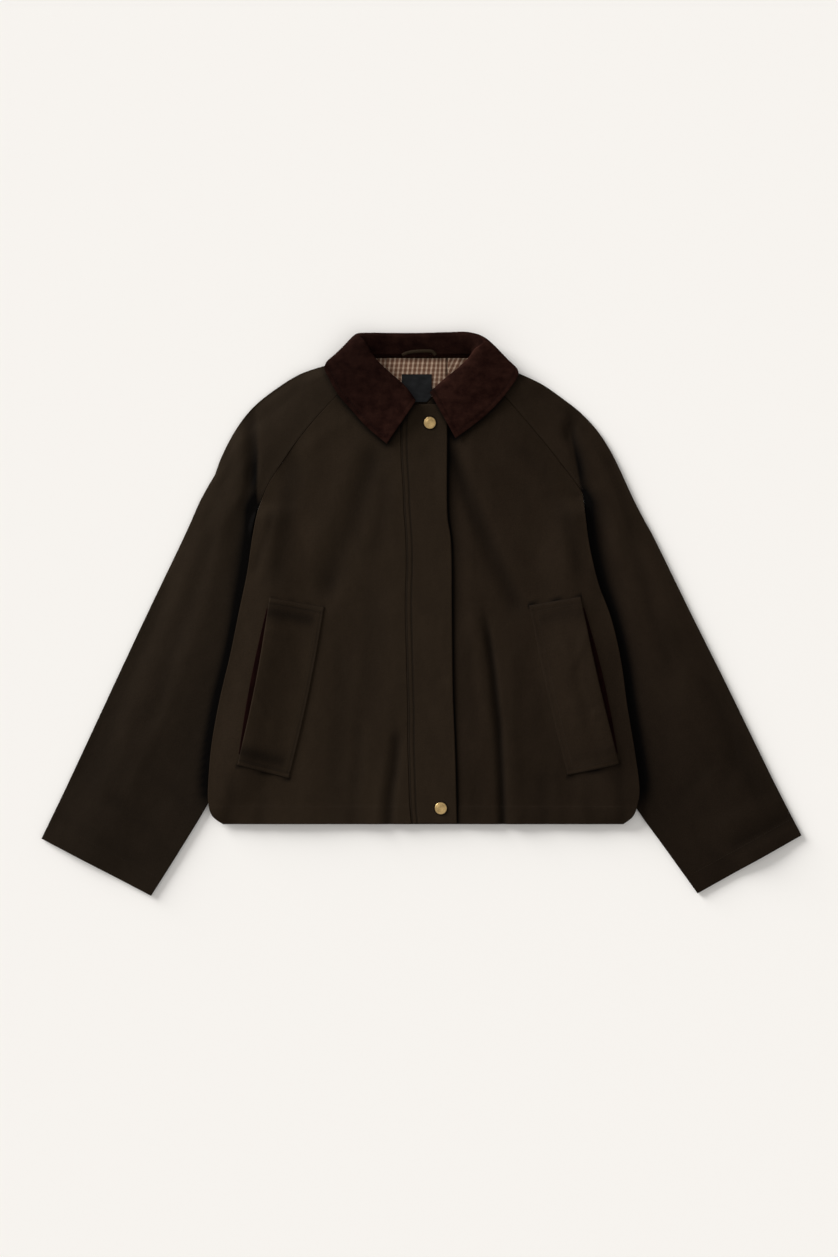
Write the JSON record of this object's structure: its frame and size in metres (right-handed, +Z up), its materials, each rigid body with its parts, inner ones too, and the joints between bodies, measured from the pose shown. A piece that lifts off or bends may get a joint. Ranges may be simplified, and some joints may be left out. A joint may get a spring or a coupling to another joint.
{
  "type": "canvas barn jacket with a corduroy collar, laid flat",
  "caption": "Cropped raglan-sleeved canvas barn jacket laid flat, with a folded corduroy collar, snap placket and slanted welt pockets.",
  "frame": {"origin": "middle of the bounding box, on the surface that the jacket lies on", "axes": "+X towards the wearer's left sleeve, +Y from the hem to the collar, +Z up from the surface"},
  "size_m": [0.9414, 0.6982, 0.0258],
  "materials": {
    "body_canvas": "dark brown waxed cotton canvas",
    "sleeve_canvas": "dark brown waxed cotton canvas",
    "collar_corduroy": "fine-wale dark red-brown corduroy",
    "check_lining": "small cream and brown check cotton",
    "label_satin": "charcoal satin, bare",
    "snap_brass": "pale satin brass"
  },
  "bodies": {
    "root": {"back": "body_canvas", "front_right": "body_canvas", "front_left": "body_canvas", "sleeve_front_right": "sleeve_canvas", "sleeve_back_right": "sleeve_canvas", "sleeve_front_left": "sleeve_canvas", "sleeve_back_left": "sleeve_canvas", "placket": "body_canvas", "pocket_welt_right": "body_canvas", "pocket_welt_left": "body_canvas", "pocket_facing_right": "collar_corduroy", "pocket_facing_left": "collar_corduroy", "collar": "collar_corduroy", "hanger_loop": "body_canvas", "neck_lining": "check_lining", "neck_label": "label_satin", "snap_top": "snap_brass", "snap_bottom": "snap_brass"}
  },
  "joints": []
}
